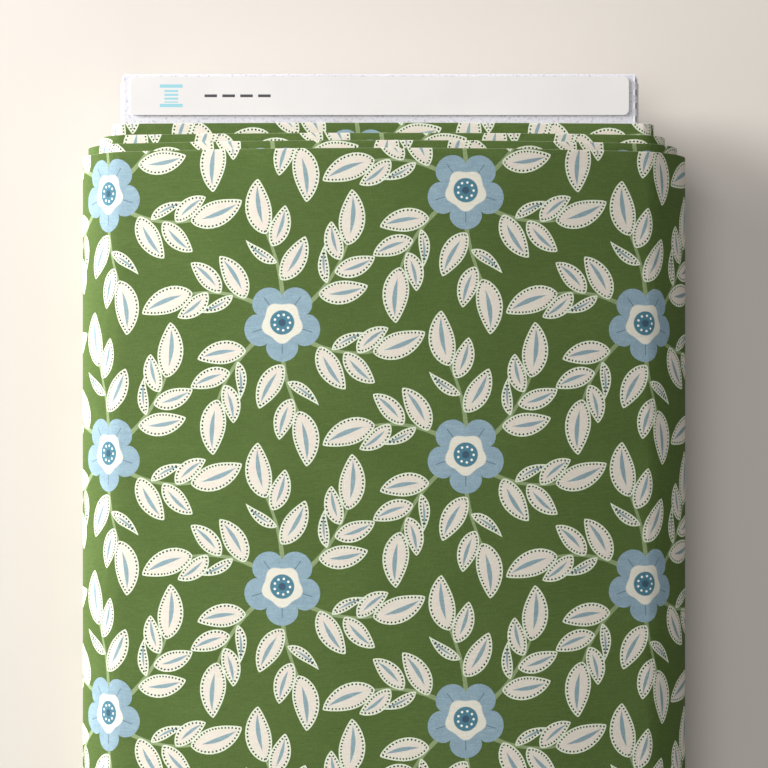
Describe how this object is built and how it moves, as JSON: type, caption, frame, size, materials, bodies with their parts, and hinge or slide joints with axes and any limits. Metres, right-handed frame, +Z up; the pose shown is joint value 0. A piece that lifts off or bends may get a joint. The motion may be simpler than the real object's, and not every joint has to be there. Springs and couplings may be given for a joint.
{
  "type": "fabric bolt",
  "caption": "Flat-fold bolt of printed cotton cloth wound in steps on a hollow carton board with tuck ends, a paper label and a loose end that lifts.",
  "frame": {"origin": "centre of the bolt's underside, where it lies on its back", "axes": "+X across the bolt to its right, +Y along it towards the label end, +Z up out of the front face"},
  "size_m": [0.2366, 0.6096, 0.05],
  "materials": {
    "printed_cotton": null,
    "white_board": "matte white-lined corrugated board, lightly speckled",
    "label_paper": "smooth uncoated white paper",
    "paper_tape": "creped paper tape"
  },
  "bodies": {
    "bolt": {"fabric_inner_turns": "printed_cotton", "fabric_second_turns": "printed_cotton", "fabric_third_turns": "printed_cotton", "fabric_outer_turns": "printed_cotton", "board_front_panel": "white_board", "board_back_panel": "white_board", "board_left_side": "white_board", "board_right_side": "white_board", "board_glue_flap": "white_board", "board_spacer": "white_board", "end_label": "label_paper", "start_tape_1": "paper_tape", "start_tape_2": "paper_tape", "start_tape_3": "paper_tape"},
    "tail": {"fabric_tail": "printed_cotton"},
    "label_end_flap": {"label_end_tuck_flap": "white_board"},
    "label_end_tongue": {"label_end_tuck_tongue": "white_board"},
    "label_end_dust_left": {"label_end_dust_flap_left": "white_board"},
    "label_end_dust_right": {"label_end_dust_flap_right": "white_board"},
    "foot_end_flap": {"foot_end_tuck_flap": "white_board"},
    "foot_end_tongue": {"foot_end_tuck_tongue": "white_board"},
    "foot_end_dust_left": {"foot_end_dust_flap_left": "white_board"},
    "foot_end_dust_right": {"foot_end_dust_flap_right": "white_board"}
  },
  "joints": [
    {"name": "tail_lift", "type": "hinge", "parent": "bolt", "child": "tail", "pos_m": [0.11795, 0, 0.03315], "axis": [0, -1, 0], "range_deg": [0, 180]},
    {"name": "label_end_open", "type": "hinge", "parent": "bolt", "child": "label_end_flap", "pos_m": [0, 0.3048, 0.0155], "axis": [-1, 0, 0], "range_deg": [0, 110]},
    {"name": "label_end_tongue_bend", "type": "hinge", "parent": "label_end_flap", "child": "label_end_tongue", "pos_m": [0, 0.30165, 0.02895], "axis": [-1, 0, 0], "range_deg": [-55, 0]},
    {"name": "label_end_dust_left_press", "type": "hinge", "parent": "bolt", "child": "label_end_dust_left", "pos_m": [-0.10015, 0.29835, 0.025], "axis": [0, 0, -1], "range_deg": [0, 80]},
    {"name": "label_end_dust_right_press", "type": "hinge", "parent": "bolt", "child": "label_end_dust_right", "pos_m": [0.09675, 0.29835, 0.025], "axis": [0, 0, 1], "range_deg": [0, 80]},
    {"name": "foot_end_open", "type": "hinge", "parent": "bolt", "child": "foot_end_flap", "pos_m": [0, -0.3048, 0.0155], "axis": [1, 0, 0], "range_deg": [0, 110]},
    {"name": "foot_end_tongue_bend", "type": "hinge", "parent": "foot_end_flap", "child": "foot_end_tongue", "pos_m": [0, -0.30165, 0.02895], "axis": [1, 0, 0], "range_deg": [-55, 0]},
    {"name": "foot_end_dust_left_press", "type": "hinge", "parent": "bolt", "child": "foot_end_dust_left", "pos_m": [-0.10015, -0.29835, 0.025], "axis": [0, 0, 1], "range_deg": [0, 80]},
    {"name": "foot_end_dust_right_press", "type": "hinge", "parent": "bolt", "child": "foot_end_dust_right", "pos_m": [0.09675, -0.29835, 0.025], "axis": [0, 0, -1], "range_deg": [0, 80]}
  ],
  "couplings": [
    {"joint": "label_end_tongue_bend", "follows": "label_end_open", "ratio": -0.5},
    {"joint": "foot_end_tongue_bend", "follows": "foot_end_open", "ratio": -0.5}
  ]
}
